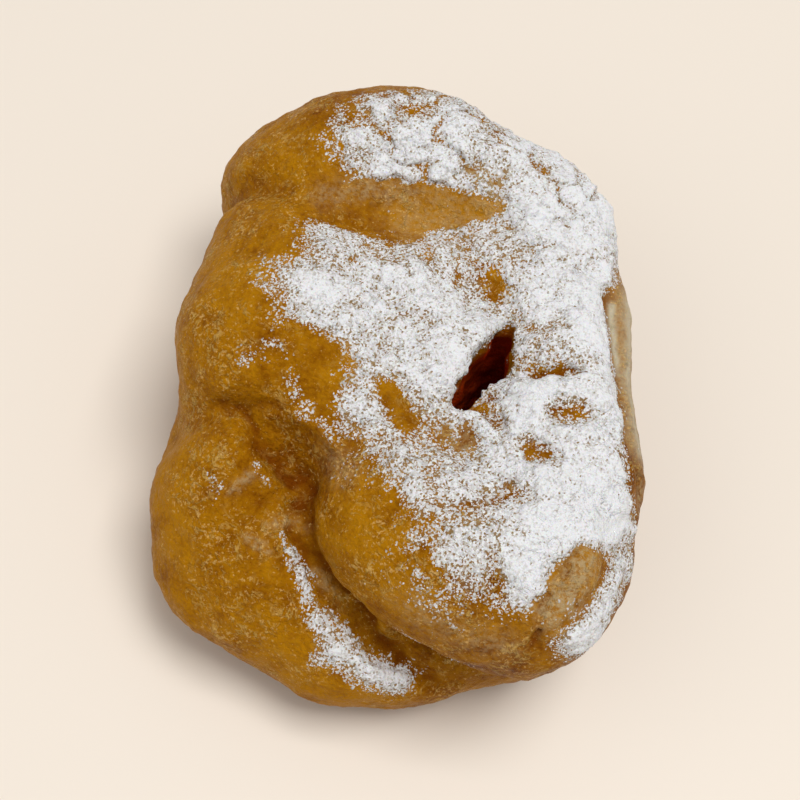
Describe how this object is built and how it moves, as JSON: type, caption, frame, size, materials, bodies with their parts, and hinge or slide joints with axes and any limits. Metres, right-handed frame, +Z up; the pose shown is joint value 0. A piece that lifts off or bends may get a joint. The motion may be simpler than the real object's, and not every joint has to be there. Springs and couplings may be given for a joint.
{
  "type": "zeppola",
  "caption": "Hand-pulled ring of fried yeast dough with a pinched hole and a crease round its side, under powdered sugar.",
  "frame": {"origin": "on the surface it rests on, under the middle of its outline", "axes": "+Z up; +Y along its longest side; the front, where the upper half folds over the lower one, faces -Y"},
  "size_m": [0.0935, 0.118, 0.055],
  "materials": {
    "crust": "fried crust, golden brown, slightly oily",
    "sugar": "dry powdered sugar"
  },
  "bodies": {
    "root": {"zeppola": "crust"}
  },
  "joints": []
}
